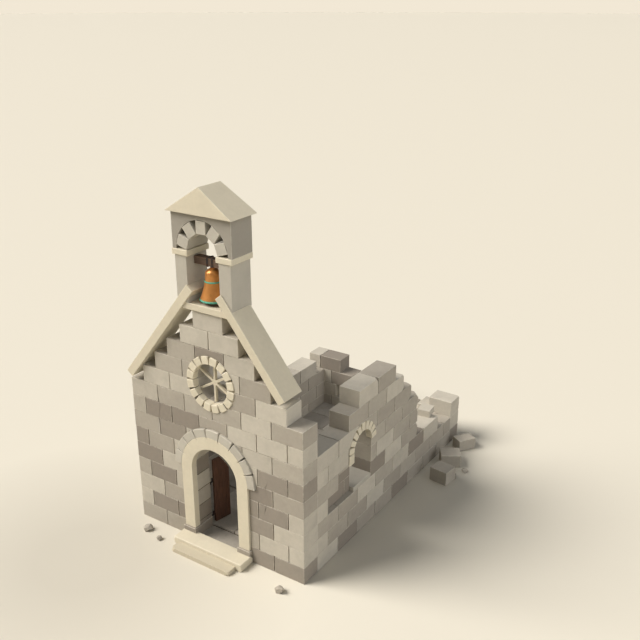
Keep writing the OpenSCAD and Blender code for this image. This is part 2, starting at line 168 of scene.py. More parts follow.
# Ashlar of the bellcote: sawn grey limestone between the two
towerStone = quarried("sawnLimestone", {
    "dark": "#8b857a", "light": "#b9b3a5", "stained": "#8c877b", "rubbed": "#cac4b6", "stain": 0.20,
    "vary": 0.03, "edge": 0.45, "roughness": 0.84, "bump": 0.18, "blotch": 460, "mottle": 70, "grain": 14})
# Riven paving: grey, rougher and dirtier
pavingStone = quarried("rivenPaving", {
    "dark": "#8a847a", "light": "#b5aea2", "stained": "#6b665b", "rubbed": "#b5ad9d", "stain": 0.40,
    "vary": 0.07, "edge": 0.4, "roughness": 0.90, "bump": 0.45, "blotch": 300, "mottle": 55, "grain": 15})
# Lime mortar weathered back in the joints: dull, sandy, dark
limeMortar = quarried("limeMortar", {
    "dark": "#4a4338", "light": "#5e5547", "stained": "#3c362d", "rubbed": "#5e5547", "stain": 0.4,
    "vary": 0.08, "edge": 0.1, "roughness": 0.95, "bump": 0.6, "blotch": 160, "mottle": 30, "grain": 10})


def timber(name, wood):
    # Riven oak, left bare: dark brown with long streaks of grain and open checks, no sheen
    material, tree, shader = newMaterial(name, wood["roughness"])
    place = addNode(tree, "TexCoord", out="Object")
    lot, worn = (addNode(tree, "Attribute", {"attribute_name": word}, out="Fac")
                 for word in ("lot", "worn"))
    shift = addNode(tree, "Math", product, {0: lot, 1: 23.0})
    drawn = addNode(tree, "Mapping", None, {"Vector": place, "Scale": wood["stretch"]})
    streak = addNode(tree, "TexNoise", shifted, {
        "Vector": drawn, "W": shift, "Scale": 1000 / wood["grain"], "Detail": 5.0, "Roughness": 0.62,
        "Distortion": 0.3})
    broad = addNode(tree, "TexNoise", shifted, {
        "Vector": drawn, "W": shift, "Scale": 1000 / (wood["grain"] * 5), "Detail": 2.0})
    early = addNode(tree, "MapRange", None, {0: streak, 1: 0.3, 2: 0.7, 3: 0.0, 4: 1.0})
    colour = addNode(tree, "Mix", inColour,
                     {0: early, 6: linear(wood["dark"]), 7: linear(wood["light"])}, 2)
    weathered = addNode(tree, "MapRange", None, {0: broad, 1: 0.4, 2: 0.75, 3: 0.0, 4: 0.45})
    colour = addNode(tree, "Mix", inColour, {0: weathered, 6: colour, 7: linear(wood["grey"])}, 2)
    value = addNode(tree, "Math", {"operation": "MULTIPLY_ADD"}, {0: lot, 1: 0.3, 2: 0.85})
    colour = addNode(tree, "HueSaturation", None, {"Value": value, "Color": colour})
    rubbed = addNode(tree, "Math", product, {0: worn, 1: 0.35})
    colour = addNode(tree, "Mix", inColour, {0: rubbed, 6: colour, 7: linear(wood["rubbed"])}, 2)
    tree.links.new(colour, shader.inputs["Base Color"])
    matt = addNode(tree, "MapRange", None, {
        0: streak, 1: 0.3, 2: 0.7, 3: wood["roughness"] + 0.08, 4: wood["roughness"] - 0.08})
    tree.links.new(matt, shader.inputs["Roughness"])
    bump = addNode(tree, "Bump", None, {"Strength": 0.5, "Distance": 0.003, "Height": streak})
    tree.links.new(bump, shader.inputs["Normal"])
    return material


# Grain spacing of 4 mm is drawn at 12 mm; it runs along the beam or up the boards
beamOak = timber("bareOakBeam", {
    "dark": "#3f3026", "light": "#6b5140", "grey": "#746557", "rubbed": "#8a7158", "roughness": 0.78,
    "grain": 12, "stretch": (0.06, 1, 1)})
doorOak = timber("bareOakBoards", {
    "dark": "#442c20", "light": "#6d4834", "grey": "#5f4738", "rubbed": "#7c5a41", "roughness": 0.74,
    "grain": 12, "stretch": (1, 1, 0.06)})


def castMetal(name, metal):
    # Two finishes mixed by a noise: bright or sound metal, and what the weather put on it
    material, tree, shader = newMaterial(name, metal["roughness"], metal["metallic"])
    place = addNode(tree, "TexCoord", out="Object")
    worn = addNode(tree, "Attribute", {"attribute_name": "worn"}, out="Fac")
    patch = addNode(tree, "TexNoise", None, {
        "Vector": place, "Scale": 1000 / metal["patch"], "Detail": 5.0, "Roughness": 0.65})
    grain = addNode(tree, "TexNoise", None, {
        "Vector": place, "Scale": 1000 / metal["grain"], "Detail": 3.0})
    aged = addNode(tree, "MapRange", None, {
        0: patch, 1: metal["from"], 2: metal["to"], 3: 0.0, 4: metal["most"]})
    colour = addNode(tree, "Mix", inColour,
                     {0: aged, 6: linear(metal["sound"]), 7: linear(metal["aged"])}, 2)
    rubbed = addNode(tree, "Math", product, {0: worn, 1: metal["edge"]})
    colour = addNode(tree, "Mix", inColour, {0: rubbed, 6: colour, 7: linear(metal["rubbed"])}, 2)
    tree.links.new(colour, shader.inputs["Base Color"])
    dulled = addNode(tree, "MapRange", None, {
        0: patch, 1: metal["from"], 2: metal["to"], 3: metal["roughness"], 4: metal["dull"]})
    tree.links.new(dulled, shader.inputs["Roughness"])
    bump = addNode(tree, "Bump", None,
                   {"Strength": metal["bump"], "Distance": 0.002, "Height": grain})
    tree.links.new(bump, shader.inputs["Normal"])
    return material


# Forged iron, black with rust coming through; bell bronze, polished by rubbing, browned in patches;
# copper bands gone green, chalky and matt
wroughtIron = castMetal("rustedIron", {
    "sound": "#3b3a39", "aged": "#6a3f27", "rubbed": "#6f6d6a", "from": 0.48, "to": 0.66, "most": 0.75,
    "edge": 0.4, "metallic": 0.75, "roughness": 0.52, "dull": 0.85, "patch": 40, "grain": 9, "bump": 0.5})
bellBronze = castMetal("bellBronze", {
    "sound": "#cd8c4b", "aged": "#a0672f", "rubbed": "#e2aa66", "from": 0.52, "to": 0.80, "most": 0.6,
    "edge": 0.5, "metallic": 0.55, "roughness": 0.36, "dull": 0.5, "patch": 110, "grain": 14, "bump": 0.12})
greenCopper = castMetal("greenCopper", {
    "sound": "#5fae93", "aged": "#3f8a78", "rubbed": "#96cdb6", "from": 0.45, "to": 0.70, "most": 0.8,
    "edge": 0.4, "metallic": 0.0, "roughness": 0.62, "dull": 0.85, "patch": 45, "grain": 10, "bump": 0.35})
print("materials made")


def newMass():
    return {"points": [], "faces": [], "tone": [], "lot": [], "worn": [], "soft": []}


def pour(mass, bm, tone, lot, worn=(), soft=False, shade=None):
    # Adds a finished solid to a mass and frees it; shade gives a face's own tone from the stone's
    start = len(mass["points"])
    bm.verts.index_update()
    mass["points"] += [vert.co.copy() for vert in bm.verts]
    for face in bm.faces:
        mass["faces"].append([start + vert.index for vert in face.verts])
        mass["tone"].append(shade(face, tone) if shade else tone)
        mass["lot"].append(lot)
        mass["worn"].append(1.0 if face in worn else 0.0)
        mass["soft"].append(soft)
    bm.free()


def makePiece(name, mass, material, body="chapel", nodes=(), weighted=True):
    mesh = bpy.data.meshes.new(name)
    mesh.from_pydata(mass["points"], [], mass["faces"])
    for word in ("tone", "lot", "worn"):
        layer = mesh.attributes.new(word, "FLOAT", "FACE")
        layer.data.foreach_set("value", mass[word])
    mesh.validate()
    for polygon in mesh.polygons:
        polygon.use_smooth = True
    piece = bpy.data.objects.new(name, mesh)
    bpy.context.scene.collection.objects.link(piece)
    piece.data.materials.append(material)
    if weighted:
        facing = piece.modifiers.new("facing", "WEIGHTED_NORMAL")
        facing.mode = "FACE_AREA"
        facing.weight = 80
    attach(piece, body)
    if nodes:
        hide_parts(*nodes)
    return piece


def packedSolid(node):
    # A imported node's mesh as one bmesh, with its corners joined
    bm = bmesh.new()
    bm.from_mesh(frame["nodes"][node].data)
    bmesh.ops.remove_doubles(bm, verts=bm.verts[:], dist=1e-5)
    return bm


def extent(bm):
    return [Vector([pick(vert.co[i] for vert in bm.verts) for i in range(3)]) for pick in (min, max)]


def prism(outline, axis, near, far, bm=None):
    # A flat outline made solid: axis 0 is drawn in YZ, axis 1 in XZ, axis 2 in XY
    bm = bm or bmesh.new()

    def put(u, v, depth):
        return bm.verts.new(((depth, u, v), (u, depth, v), (u, v, depth))[axis])

    one = [put(u, v, near) for u, v in outline]
    two = [put(u, v, far) for u, v in outline]
    count = len(outline)
    faces = [bm.faces.new(one), bm.faces.new(two[::-1])]
    for i in range(count):
        j = (i + 1) % count
        faces.append(bm.faces.new((one[i], two[i], two[j], one[j])))
    bmesh.ops.recalc_face_normals(bm, faces=faces)
    return bm


def cuboid(low, high, bm=None):
    return prism([(low[0], low[1]), (high[0], low[1]), (high[0], high[1]), (low[0], high[1])], 2,
                 low[2], high[2], bm)


def arc(centre, radius, start, end, steps):
    turns = [math.radians(start + (end - start) * i / steps) for i in range(steps + 1)]
    return [(centre[0] + radius * math.cos(t), centre[1] + radius * math.sin(t)) for t in turns]


def archedOutline(mid, radius, foot, spring, steps=28):
    return [(mid - radius, foot), (mid + radius, foot)] + arc((mid, spring), radius, 0, 180, steps)


def carve(bm, cutters):
    # Cuts each of the cutters out of everything in bm
    made = []

    def place(source, name):
        mesh = bpy.data.meshes.new(name)
        source.to_mesh(mesh)
        source.free()
        thing = bpy.data.objects.new(name, mesh)
        bpy.context.scene.collection.objects.link(thing)
        made.append(thing)
        return thing

    target = place(bm, "rough")
    for cutter in cutters:
        step = target.modifiers.new("cut", "BOOLEAN")
        step.operation, step.solver = "DIFFERENCE", "EXACT"
        step.object = place(cutter, "cutter")
    graph = bpy.context.evaluated_depsgraph_get()
    result = bmesh.new()
    result.from_mesh(bpy.data.meshes.new_from_object(target.evaluated_get(graph)))
    for thing in made:
        mesh = thing.data
        bpy.data.objects.remove(thing)
        bpy.data.meshes.remove(mesh)
    return result


def splitSolids(bm):
    # One new bmesh for each separate solid, always in the same order
    bm.verts.index_update()
    seen, parts = set(), []
    for first in bm.verts:
        if first.index in seen:
            continue
        stack, group = [first], []
        seen.add(first.index)
        while stack:
            vert = stack.pop()
            group.append(vert)
            for edge in vert.link_edges:
                other = edge.other_vert(vert)
                if other.index not in seen:
                    seen.add(other.index)
                    stack.append(other)
        part = bmesh.new()
        copy = {vert.index: part.verts.new(vert.co) for vert in group}
        bm.faces.index_update()
        for face in sorted({face.index: face for vert in group for face in vert.link_faces}.items()):
            part.faces.new([copy[vert.index] for vert in face[1].verts])
        parts.append(part)
    bm.free()
    return parts


def knock(bm, point, outward):
    # Strikes off everything beyond a plane and closes the scar
    bmesh.ops.bisect_plane(bm, geom=bm.verts[:] + bm.edges[:] + bm.faces[:], dist=1e-6, plane_co=point,
                           plane_no=outward, clear_outer=True)
    bmesh.ops.holes_fill(bm, edges=[edge for edge in bm.edges if len(edge.link_faces) < 2], sides=0)


def chipCorners(bm, rng, chances, size):
    # chances gives, for each of the eight corners (-1 or 1 on each axis), how likely it is to be lost
    low, high = extent(bm)
    for signs, chance in chances.items():
        if rng.random() >= chance:
            continue
        corner = Vector([high[i] if signs[i] > 0 else low[i] for i in range(3)])
        outward = Vector([signs[i] * rng.uniform(0.35, 1.0) for i in range(3)]).normalized()
        knock(bm, corner - outward * rng.uniform(0.35, 1.0) * size, outward)


def finishStone(mass, bm, tone, lot, bevel, segments=2, shade=None, spare=None):
    # Rubs the sharp edges round and marks the rubbed faces
    bmesh.ops.remove_doubles(bm, verts=bm.verts[:], dist=1e-5)
    bmesh.ops.dissolve_limit(bm, angle_limit=0.02, verts=bm.verts[:], edges=bm.edges[:])
    bmesh.ops.recalc_face_normals(bm, faces=bm.faces[:])
    sharp = [edge for edge in bm.edges if len(edge.link_faces) == 2 and edge.calc_face_angle(0) > 0.4
             and not (spare and spare(edge))]
    rounded = bmesh.ops.bevel(bm, geom=sharp, offset=bevel, offset_type="OFFSET", segments=segments,
                              profile=0.6, affect="EDGES", clamp_overlap=True)
    pour(mass, bm, tone, lot, set(rounded["faces"]), shade=shade)


masonry = {
    "perpend": 0.018,       # upright joint
    "bed": 0.004,           # level joint
    "bevel": 0.009,
    "mortarBack": 0.060,    # how far the mortar has weathered back
    "tones": (0.05, 0.5, 0.95),
    "jitter": 0.0018,
    "brokenEnd": 0.85,      # chance that a corner at a broken end is lost
    "endChip": 0.075,
    "topChip": 0.045,
}
corners = [(x, y, z) for x in (-1, 1) for y in (-1, 1) for z in (-1, 1)]


def pickTone(rng, weights):
    return min(1, max(0, rng.choices(masonry["tones"], weights)[0] + rng.uniform(-0.12, 0.12)))


def covers(spans, at):
    return any(low - 1e-6 <= at <= high + 1e-6 for low, high in spans)


def layWall(wall):
    # courses is a list of spans for each course, from the ground up; across is 0 for a wall along X
    rng = random.Random(wall["seed"])
    stones, fillings = [], []
    near, far = wall["depth"]
    for number, spans in enumerate(wall["courses"]):
        above = wall["courses"][number + 1] if number + 1 < len(wall["courses"]) else []
        low, high = number * course, (number + 1) * course
        for start, end in spans:
            cuts = [start] + [j for j in wall["joints"](number) if start + 0.1 < j < end - 0.1] + [end]
            for left, right in zip(cuts, cuts[1:]):
                openTop = not covers(above, (left + right) / 2)
                a = left + (masonry["perpend"] / 2 if left > start else 0)
                b = right - (masonry["perpend"] / 2 if right < end else 0)
                bottom = low + (masonry["bed"] / 2 if number else 0)
                top = high - (0 if openTop else masonry["bed"] / 2)
                box = ((a, near, bottom), (b, far, top)) if wall["axis"] == 1 else \
                    ((near, a, bottom), (far, b, top))
                tone = pickTone(rng, wall["weights"])
                for at, height, chosen in wall.get("chosen", ()):
                    if a < at < b and bottom < height * course < top:
                        tone = chosen
                stones.append({"low": Vector(box[0]), "high": Vector(box[1]), "openTop": openTop,
                               "endLow": left <= start + 1e-6 and wall["ragged"](number, left),
                               "endHigh": right >= end - 1e-6 and wall["ragged"](number, right),
                               "tone": tone, "lot": rng.random()})
                if right < end:
                    back = masonry["mortarBack"]
                    ends = (right - masonry["perpend"] / 2, right + masonry["perpend"] / 2)
                    fillings.append(((ends[0], near + back, bottom), (ends[1], far - back, top - 0.01))
                                    if wall["axis"] == 1 else
                                    ((near + back, ends[0], bottom), (far - back, ends[1], top - 0.01)))
    return stones, fillings, rng


def raiseWall(name, wall, material, nodes, cutters=()):
    stones, fillings, rng = layWall(wall)
    mass, mortar = newMass(), newMass()
    zones = [extent(cutter) for cutter in cutters]

    def touched(low, high):
        return any(all(low[i] < zone[1][i] and high[i] > zone[0][i] for i in range(3)) for zone in zones)

    cut, whole = bmesh.new(), []
    for stone in stones:
        if touched(stone["low"], stone["high"]):
            cuboid(stone["low"], stone["high"], cut)
        else:
            whole.append((cuboid(stone["low"], stone["high"]), stone))
    for low, high in fillings:
        if not touched(low, high):
            pour(mortar, cuboid(low, high), rng.random(), rng.random())
    if len(cut.verts):
        for part in splitSolids(carve(cut, cutters)):
            middle = sum((vert.co for vert in part.verts), Vector()) / len(part.verts)
            owner = min(stones, key=lambda s: sum(
                max(s["low"][i] - middle[i], 0, middle[i] - s["high"][i]) ** 2 for i in range(3)))
            whole.append((part, dict(owner, shaped=True)))
    along = 0 if wall["axis"] == 1 else 1
    for bm, stone in whole:
        if not stone.get("shaped"):
            for vert in bm.verts:
                vert.co += Vector([rng.uniform(-1, 1) * masonry["jitter"] for i in range(3)])
        chances = {}
        for signs in corners:
            chance = wall["chipTop"] if stone["openTop"] and signs[2] > 0 else 0.0
            if (stone["endLow"] and signs[along] < 0) or (stone["endHigh"] and signs[along] > 0):
                chance = masonry["brokenEnd"]
            if chance:
                chances[signs] = chance
        if chances and not stone.get("shaped"):
            broken = masonry["brokenEnd"] in chances.values()
            chipCorners(bm, rng, chances, masonry["endChip" if broken else "topChip"])
        finishStone(mass, bm, stone["tone"], stone["lot"], masonry["bevel"], shade=wall.get("shade"),
                    spare=wall.get("spare"))
    piece = makePiece(name, mass, material, nodes=nodes)
    if mortar["faces"]:
        makePiece(name + "Joints", mortar, limeMortar, weighted=False)
    return piece


def bond(start, length, offset=0.0):
    # Joints at every length from start, shifted by half a block in every second course
    def joints(number):
        half = 0.5 if number % 2 else 0.0
        return [start + (n + half + offset) * length for n in range(-1, 20)]
    return joints


halfWidth = chapel["halfWidth"]
facade = {
    "axis": 1, "depth": (chapel["front"], chapel["nave"]), "seed": 11, "weights": (3, 4, 4),
    "courses": [[(-halfWidth, halfWidth)]] * chapel["facadeCourses"],
    "joints": bond(-halfWidth, block), "ragged": lambda number, at: False, "chipTop": 0.12,
    # at X, course, tone: the pale cap of the gable and the pale stones under the coping
    "chosen": ((0.0, chapel["facadeCourses"] + chapel["gableSteps"] - 0.5, 0.85), (1.7, 8.5, 0.45),
               (1.8, 7.5, 0.9), (-1.6, 8.5, 0.75)),
}
steps = [[(-halfWidth + n * block / 2, halfWidth - n * block / 2)]
         for n in range(1, chapel["gableSteps"] + 1)]
facade["courses"] = facade["courses"] + steps
front = chapel["front"]
doorCutters = [
    prism(archedOutline(0, doorRadius, -0.05, springZ), 1, front - 0.05, chapel["nave"] + 0.05),
    prism(archedOutline(0, surroundRadius, -0.05, springZ), 1, front - 0.05, surroundHigh.y),
    prism(arc((0, springZ), hoodRadius, 0, 180, 36), 1, front - 0.05, surroundHigh.y),
    prism(arc(roseCentre, roseInner, 0, 352.5, 47), 1, front - 0.05, chapel["nave"] + 0.05),
    prism(arc(roseCentre, roseOuter, 0, 352.5, 47), 1, front - 0.05, roseHigh.y),
]
# Cracks run down the face as thin zigzags, left sharp: points of (x, z) from the top
crack = {"wide": 0.014, "deep": 0.022, "runs": (
    ((-1.367, 3.125), (-1.301, 2.740), (-1.413, 2.120)), ((1.244, 1.984), (1.169, 1.728), (1.295, 1.413)),
    ((1.207, 1.466), (1.129, 1.157)))}
for run in crack["runs"]:
    inner = run[1:-1] or [tuple((run[0][i] + run[1][i]) / 2 for i in range(2))]
    outline = [run[0]] + [(x + crack["wide"] / 2, z) for x, z in inner] + [run[-1]] + \
        [(x - crack["wide"] / 2, z) for x, z in inner[::-1]]
    doorCutters.append(prism(outline, 1, front - 0.05, front + crack["deep"]))


def nearCrack(point):
    if point.y > front + crack["deep"] + 0.001:
        return False
    for run in crack["runs"]:
        for top, foot in zip(run, run[1:]):
            share = min(1, max(0, (top[1] - point.z) / (top[1] - foot[1])))
            if abs(top[0] + (foot[0] - top[0]) * share - point.x) < crack["wide"] and \
                    foot[1] - 0.003 < point.z < top[1] + 0.003:
                return True
    return False


facade["spare"] = lambda edge: all(nearCrack(vert.co) for vert in edge.verts)
raiseWall("facade", facade, wallStone,
          ("front_wall_left", "front_wall_right", "front_wall_over_door", "gable_wall"), doorCutters)
# Lime pointing shows on the left reveal, along the courses
pointing = {"tall": 0.012, "proud": 0.003, "courses": (1, 2, 3, 4)}
mass = newMass()
for number in pointing["courses"]:
    z = number * course
    pour(mass, cuboid((-doorRadius - 0.02, surroundHigh.y + 0.012, z - pointing["tall"] / 2),
                      (-doorRadius + pointing["proud"], chapel["nave"] - 0.012, z + pointing["tall"] / 2)),
         0.9, 0.5)
makePiece("revealPointing", mass, limeMortar, weighted=False)
print("facade laid")


def reach(pieces, number):
    # Spans of one course from [from, to, courses] columns counted in side blocks
    spans = []
    for low, high, top in sorted(pieces):
        if top > number:
            if spans and abs(spans[-1][1] - low) < 1e-6:
                spans[-1][1] = high
            else:
                spans.append([low, high])
    return [(chapel["nave"] + low * sideBlock, chapel["nave"] + high * sideBlock) for low, high in spans]


def sideCutters(side):
    thin, thick = sorted((side * (chapel["inside"] - 0.05), side * (halfWidth + 0.05)))
    skin = sorted((side * ringDeep, side * (halfWidth + 0.05)))
    opening = archedOutline(windowMid, windowRadius, sillLow.z, windowSpring)
    jamb = [(windowMid - ringRadius, ringLow.z), (windowMid - windowRadius + 0.001, ringLow.z),
            (windowMid - windowRadius + 0.001, windowSpring), (windowMid - ringRadius, windowSpring)]
    head = arc((windowMid, windowSpring), ringRadius, 0, 180, 24)
    return [prism(opening, 0, thin, thick), prism(head, 0, *skin), prism(jamb, 0, *skin)]


ringDeep = halfWidth - 0.12
# Heights of the walls: from, to (in side blocks along the nave) and number of courses
rightTops = [(0, 1.5, 7), (1.5, 2, 8), (2, 4, 9), (4, 4.5, 8), (4.5, 5, 7), (5, 5.5, 6), (5.5, 7, 3),
             (7, 8, 2)]
leftTops = [(0, 1, 7), (1, 2, 8), (2, 3.5, 7), (3.5, 4, 6), (4, 4.5, 5), (4.5, 7.5, 4), (7.5, 8, 3)]
# Where facing stones are lost: from, to, and the courses below and above
rightBare = [(0.5, 1.8, 3, 4), (1, 1.8, 4, 4.9)]
bareDepth = 0.1
sideJoints = bond(chapel["nave"], sideBlock)


def sideY(count):
    return chapel["nave"] + count * sideBlock


bareCutters = []
for start, end, low, high in rightBare:
    last = min(sideY(end), sillLow.y + 0.01) if start < 2 else sideY(end) + 0.01
    bareCutters.append(cuboid((halfWidth - bareDepth, sideY(start) + 0.004, low * course),
                              (halfWidth + 0.05, last, high * course)))


def paintedRecessShade(face, tone):
    # Painted shade: the hearting faces at the back of the recess left by lost facing stones get the darkest
    # tone, standing in for the shade inside the recess
    middle = face.calc_center_median()
    return 0.0 if middle.x > halfWidth - bareDepth - 0.01 and middle.x < halfWidth - 0.03 and \
        middle.y < sideY(5.5) - 0.02 else tone


rightWall = {
    "shade": paintedRecessShade, "axis": 0, "depth": (chapel["inside"], halfWidth), "seed": 23, "weights": (1, 6, 3),
    "courses": [reach(rightTops, n) for n in range(9)], "joints": sideJoints, "chipTop": 0.12,
    "ragged": lambda number, at: at > sideY(3.9) and 2 < number < 8,
}
raiseWall("rightWall", rightWall, wallStone,
          ("right_wall_front", "right_wall_under_window", "right_wall_over_window", "right_wall_middle",
           "right_wall_back"), sideCutters(1) + bareCutters)
leftWall = {
    "axis": 0, "depth": (-halfWidth, -chapel["inside"]), "seed": 37, "weights": (2, 5, 3),
    "chosen": ((sideY(1.25), 7.5, 0.8), (sideY(1.75), 7.5, 0.8)),
    "courses": [reach(leftTops, n) for n in range(8)], "joints": sideJoints, "chipTop": 0.15,
    "ragged": lambda number, at: at > sideY(3) and number > 3,
}
raiseWall("leftWall", leftWall, wallStone,
          ("left_wall_front", "left_wall_under_window", "left_wall_over_window", "left_wall_back"),
          sideCutters(-1))
rearSpans = {"hole": (-1.2, -0.8), "third": -halfWidth + 1.288, "fourth": -halfWidth + 0.93}
backWall = {
    "axis": 1, "depth": (chapel["back"], chapel["rear"]), "seed": 41, "weights": (2, 4, 4),
    "courses": [[(-halfWidth, halfWidth)],
                [(-halfWidth, rearSpans["hole"][0]), (rearSpans["hole"][1], halfWidth)],
                [(-halfWidth, rearSpans["third"])], [(-halfWidth, rearSpans["fourth"])]],
    "joints": bond(-halfWidth, block), "chipTop": 0.12, "ragged": lambda number, at: False,
}
raiseWall("backWall", backWall, wallStone, ("back_wall",))
print("side and back walls laid")


def dressNodes(name, nodes, style, material, body="chapel"):
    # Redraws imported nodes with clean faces, rubbed edges and a few lost corners
    rng = random.Random(style["seed"])
    mass = newMass()
    for node in nodes:
        for part in splitSolids(packedSolid(node)):
            bmesh.ops.dissolve_limit(part, angle_limit=0.02, verts=part.verts[:], edges=part.edges[:])
            chance = style.get("chips", 0)
            if chance:
                chipCorners(part, rng, {signs: chance for signs in corners}, style.get("chipSize", 0.05))
            low, high = style.get("tone", (0.3, 0.9))
            finishStone(mass, part, rng.uniform(low, high), rng.random(), style["bevel"],
                        style.get("segments", 2))
    return makePiece(name, mass, material, body, nodes)


dressNodes("portalPlinths", ("portal_plinths",), {"seed": 2, "bevel": 0.010, "tone": (0.1, 0.3)},
           wallStone)
dressNodes("upperStep", ("upper_step",), {"seed": 3, "bevel": 0.016, "tone": (0.7, 0.9), "chips": 0.4,
                                          "chipSize": 0.04}, trimStone)
dressNodes("lowerStep", ("lower_step",), {"seed": 31, "bevel": 0.018, "tone": (0.0, 0.1), "chips": 0.4,
                                          "chipSize": 0.05}, trimStone)
dressNodes("threshold", ("threshold",), {"seed": 4, "bevel": 0.008, "tone": (0.3, 0.6)},
           pavingStone)
dressNodes("roseTracery", ("rose_tracery",), {"seed": 5, "bevel": 0.007, "tone": (0.7, 0.9)},
           trimStone)
dressNodes("copings", ("coping_left", "coping_right"), {"seed": 6, "bevel": 0.012, "tone": (0.55, 0.8),
                                                        "chips": 0.2, "chipSize": 0.05},
           trimStone)
dressNodes("bellSill", ("bell_sill",), {"seed": 7, "bevel": 0.010, "tone": (0.6, 0.8)},
           trimStone)
dressNodes("bellPiers", ("bell_pier_left", "bell_pier_right"),
           {"seed": 8, "bevel": 0.010, "tone": (0.7, 1.0)}, towerStone)
dressNodes("imposts", ("imposts",), {"seed": 9, "bevel": 0.012, "tone": (0.7, 0.95)},
           trimStone)
dressNodes("bellArch", ("bell_arch_stones",), {"seed": 10, "bevel": 0.010, "tone": (0.7, 1.0)},
           towerStone)
dressNodes("bellHead", ("bell_head",), {"seed": 12, "bevel": 0.010, "tone": (0.1, 0.3)},
           towerStone)
dressNodes("bellRoof", ("bell_roof",), {"seed": 13, "bevel": 0.010, "tone": (0.5, 0.7)},
           trimStone)
dressNodes("windowSills", ("window_sills",), {"seed": 14, "bevel": 0.010, "tone": (0.7, 0.9)},
           towerStone)
dressNodes("looseBlocks", ("loose_blocks",), {"seed": 15, "bevel": 0.024, "tone": (0.8, 1.0), "chips": 0.25},
           wallStone)
fallen = {"seed": 16, "bevel": 0.014, "chipSize": 0.07, "chips": 0.55, "pebble": 0.25, "pebbleKnocks": 22}
rng = random.Random(fallen["seed"])
mass = newMass()
for part in splitSolids(packedSolid("fallen_blocks")):
    low, high = extent(part)
    tall, middle = high.z - low.z, (low + high) / 2
    if max(high - low) > fallen["pebble"]:
        chipCorners(part, rng, {signs: fallen["chips"] for signs in corners}, fallen["chipSize"])
        finishStone(mass, part, rng.uniform(0.5, 0.85), rng.random(), fallen["bevel"])
        continue
    # A cobble: the block worn down by many small flats until it is nearly round
    for number in range(fallen["pebbleKnocks"]):
        outward = Vector([rng.uniform(-1, 1) for i in range(2)] + [rng.uniform(-0.5, 1)]).normalized()
        span = min(high.x - low.x, high.y - low.y) * 0.5
        level, steep = (outward.x ** 2 + outward.y ** 2) / span ** 2, outward.z ** 2 / (tall * 0.5) ** 2
        reachOut = 1 / math.sqrt(level + steep)
        knock(part, middle + outward * reachOut * rng.uniform(0.86, 1.0), outward)
    finishStone(mass, part, rng.uniform(0.4, 0.8), rng.random(), 0.004)
makePiece("fallenBlocks", mass, wallStone, nodes=("fallen_blocks",))
print("dressed stone done")


def wedge(centre, inner, outer, mid, half, gapIn, gapOut):
    # One arch stone: its sides draw away from its neighbours towards the outside
    turnIn = half - math.degrees(gapIn / 2 / inner)
    turnOut = half - math.degrees(gapOut / 2 / outer)
    return arc(centre, inner, mid - turnIn, mid + turnIn, 3) + \
        arc(centre, outer, mid + turnOut, mid - turnOut, 2)


def ringOfStones(ring):
    mass = newMass()
    rng = random.Random(ring["seed"])
    half = (ring["to"] - ring["from"]) / ring["count"] / 2
    for number in range(ring["count"]):
        mid = ring["from"] + (2 * number + 1) * half
        outline = wedge(ring["centre"], ring["inner"], ring["outer"], mid, half,
                        ring["gapIn"], ring["gapOut"])
        for near, far, axis in ring["faces"]:
            tone = rng.uniform(*ring["tone"])
            finishStone(mass, prism(outline, axis, near, far), tone, rng.random(), ring["bevel"])
    return mass, rng


hood = {"seed": 51, "centre": (0, springZ), "inner": surroundRadius + 0.001, "outer": hoodRadius, "from": 0,
        "to": 180, "count": 9, "gapIn": 0.008, "gapOut": 0.036, "tone": (0.7, 1.0), "bevel": 0.012,
        "faces": [(hoodLow.y, hoodHigh.y, 1)]}
mass, rng = ringOfStones(hood)
makePiece("portalHood", mass, towerStone, nodes=("portal_hood",))
# The joints of the hood run a little way into the smooth surround
notch = {"deep": 0.055, "wide": 0.016, "back": 0.030}
cutters = []
for number in range(1, hood["count"]):
    turn = math.radians(180 * number / hood["count"])
    out, side = Vector((math.cos(turn), math.sin(turn))), Vector((-math.sin(turn), math.cos(turn)))
    tip, mouth = surroundRadius - notch["deep"], surroundRadius + 0.01
    outline = [out * tip, out * mouth + side * notch["wide"] / 2, out * mouth - side * notch["wide"] / 2]
    cutters.append(prism([(p.x, p.y + springZ) for p in outline], 1, surroundLow.y - 0.01,
                         surroundLow.y + notch["back"]))
mass = newMass()
for part in splitSolids(carve(packedSolid("portal_surround"), cutters)):
    finishStone(mass, part, 0.85, 0.4, 0.010)
makePiece("portalSurround", mass, trimStone, nodes=("portal_surround",))
rose = {"seed": 52, "centre": roseCentre, "inner": roseInner + 0.0005, "outer": roseOuter,
        "from": 0, "to": 360, "count": 16, "gapIn": 0.010, "gapOut": 0.050, "tone": (0.7, 1.0),
        "bevel": 0.014, "faces": [(roseLow.y, roseHigh.y, 1)]}
mass, rng = ringOfStones(rose)
makePiece("roseRing", mass, trimStone, nodes=("rose_ring",))
windowRing = {"seed": 53, "centre": (windowMid, windowSpring), "inner": windowRadius, "outer": ringRadius,
              "from": 0, "to": 180, "count": 9, "gapIn": 0.010, "gapOut": 0.048, "tone": (0.8, 1.0),
              "bevel": 0.012, "faces": [(ringDeep, ringHigh.x, 0), (-ringHigh.x, -ringDeep, 0)]}
mass, rng = ringOfStones(windowRing)
for near, far, axis in windowRing["faces"]:
    finishStone(mass, cuboid((near, windowMid - ringRadius, ringLow.z),
                             (far, windowMid - windowRadius, windowSpring - 0.004)),
                rng.uniform(0.6, 1.0), rng.random(), windowRing["bevel"])
makePiece("windowRings", mass, trimStone, nodes=("window_rings",))

